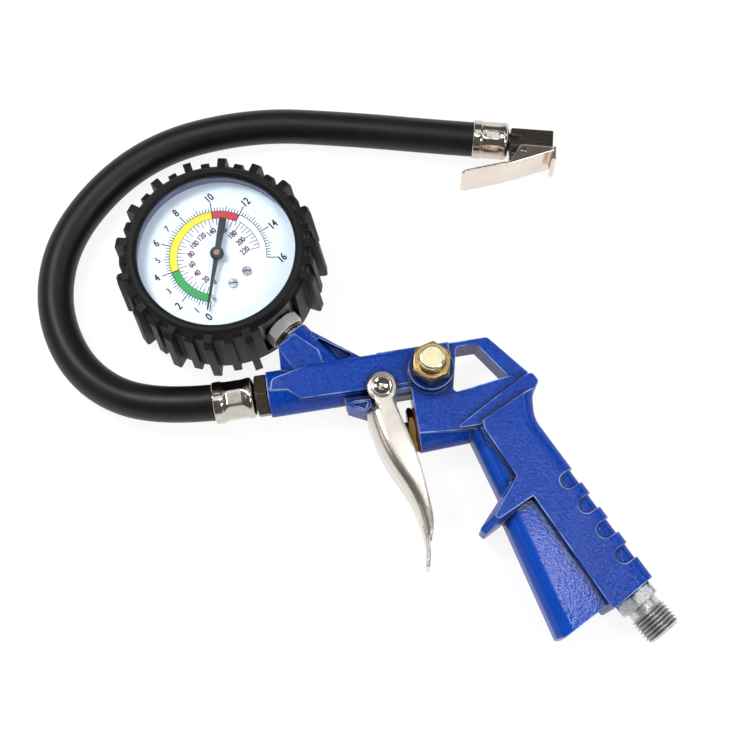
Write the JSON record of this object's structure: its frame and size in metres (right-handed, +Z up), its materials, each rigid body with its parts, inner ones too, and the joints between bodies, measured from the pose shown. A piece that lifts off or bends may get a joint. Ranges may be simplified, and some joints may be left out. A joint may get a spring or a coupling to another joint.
{
  "type": "tyre inflator with gauge",
  "caption": "Pistol-grip air gun for inflating tyres, with a finger trigger, a rubber-booted dial gauge at its nose and a rubber hose that ends in a clip-on chuck.",
  "frame": {"origin": "centre of the footprint of the gun and its gauge, on the surface that the tool lies on; the hose and chuck are left out of that box", "axes": "+Z up from the bench, along the trigger's pin and the gauge's own axis; +X along the barrel from the hose port to the handle's back; +Y from the handle's inlet towards the gauge"},
  "size_m": [0.2049, 0.2203, 0.0376],
  "materials": {
    "blue_casting": "die-cast body with a hard satin blue coat that keeps the grain of the casting",
    "nickel_plate": "bright nickel plate on steel",
    "brass": "turned and sawn brass, slightly dulled",
    "plated_block": "dull dark nickel on brass",
    "steel": "turned steel, zinc plated",
    "copper_washer": "soft copper",
    "spring_steel": "drawn spring wire",
    "seal_rubber": "black nitrile rubber, smooth",
    "boot_rubber": "moulded black rubber, satin",
    "hose_rubber": "extruded black rubber hose, satin",
    "case_enamel": "black stoved enamel on pressed steel",
    "lens_clear": "clear moulded polycarbonate",
    "dial_white": "white stoved enamel with printed scales",
    "pointer_black": "matt black enamel on thin sheet"
  },
  "bodies": {
    "gun": {"gun_body": "blue_casting", "trigger_pin": "nickel_plate", "near_ferrule": "nickel_plate", "far_ferrule": "nickel_plate", "chuck_pivot_pin": "nickel_plate", "valve_gland": "brass", "bleed_valve_body": "brass", "gauge_socket": "brass", "socket_washer": "brass", "hose_adaptor": "brass", "movement_plates": "brass", "bourdon_tube": "brass", "chuck_depressor": "brass", "chuck_body": "plated_block", "inlet_nipple": "steel", "stop_pin": "steel", "dial_screws": "steel", "gland_washer": "copper_washer", "valve_spring": "spring_steel", "bleed_spring": "spring_steel", "chuck_spring": "spring_steel", "hairspring": "spring_steel", "stem_seal": "seal_rubber", "chuck_seal": "seal_rubber", "gauge_boot": "boot_rubber", "hose": "hose_rubber", "gauge_case": "case_enamel", "gauge_lens": "lens_clear", "dial_plate": "dial_white"},
    "trigger": {"trigger": "nickel_plate"},
    "valve_stem": {"valve_stem": "steel", "poppet_disc": "seal_rubber"},
    "bleed_button": {"bleed_button": "nickel_plate", "bleed_seal": "seal_rubber"},
    "sector": {"sector_gear": "brass"},
    "pointer": {"pointer": "pointer_black", "pointer_shaft": "steel"},
    "link": {"link": "brass"},
    "chuck_lever": {"chuck_lever": "nickel_plate"}
  },
  "joints": [
    {"name": "trigger_pull", "type": "hinge", "parent": "gun", "child": "trigger", "pos_m": [0.0013, 0.0024, 0.0125], "axis": [0, 0, 1], "range_deg": [0, 12], "stiffness_Nm_per_rad": 1.5, "springref_deg": -5.73},
    {"name": "valve_travel", "type": "slide", "parent": "gun", "child": "valve_stem", "axis": [1, 0, 0], "range_m": [0, 0.0031], "deforming": ["valve_spring"]},
    {"name": "bleed_press", "type": "slide", "parent": "gun", "child": "bleed_button", "axis": [0, 0, -1], "range_m": [0, 0.002], "stiffness_N_per_m": 1500, "springref_m": -0.001, "deforming": ["bleed_spring"]},
    {"name": "sector_turn", "type": "hinge", "parent": "gun", "child": "sector", "pos_m": [-0.06266, 0.0543, 0.0125], "axis": [0, 0, 1], "range_deg": [0, 44], "stiffness_Nm_per_rad": 0.02, "springref_deg": -2.86},
    {"name": "pointer_turn", "type": "hinge", "parent": "gun", "child": "pointer", "pos_m": [-0.04885, 0.05932, 0.0125], "axis": [0, 0, 1], "range_deg": [-264, 0]},
    {"name": "link_turn", "type": "hinge", "parent": "sector", "child": "link", "pos_m": [-0.06686, 0.0543, 0.0125], "axis": [0, 0, 1], "range_deg": [-44, 0]},
    {"name": "lever_press", "type": "hinge", "parent": "gun", "child": "chuck_lever", "pos_m": [0.06817, 0.08614, 0.00857], "axis": [-0.0337, -0.135, -0.9903], "range_deg": [0, 15], "stiffness_Nm_per_rad": 0.6, "springref_deg": -11.46, "deforming": ["chuck_spring"]}
  ],
  "couplings": [
    {"joint": "valve_travel", "follows": "trigger_pull", "m_per_rad": 0.0146},
    {"joint": "pointer_turn", "follows": "sector_turn", "ratio": -6},
    {"joint": "link_turn", "follows": "sector_turn", "ratio": -1}
  ]
}
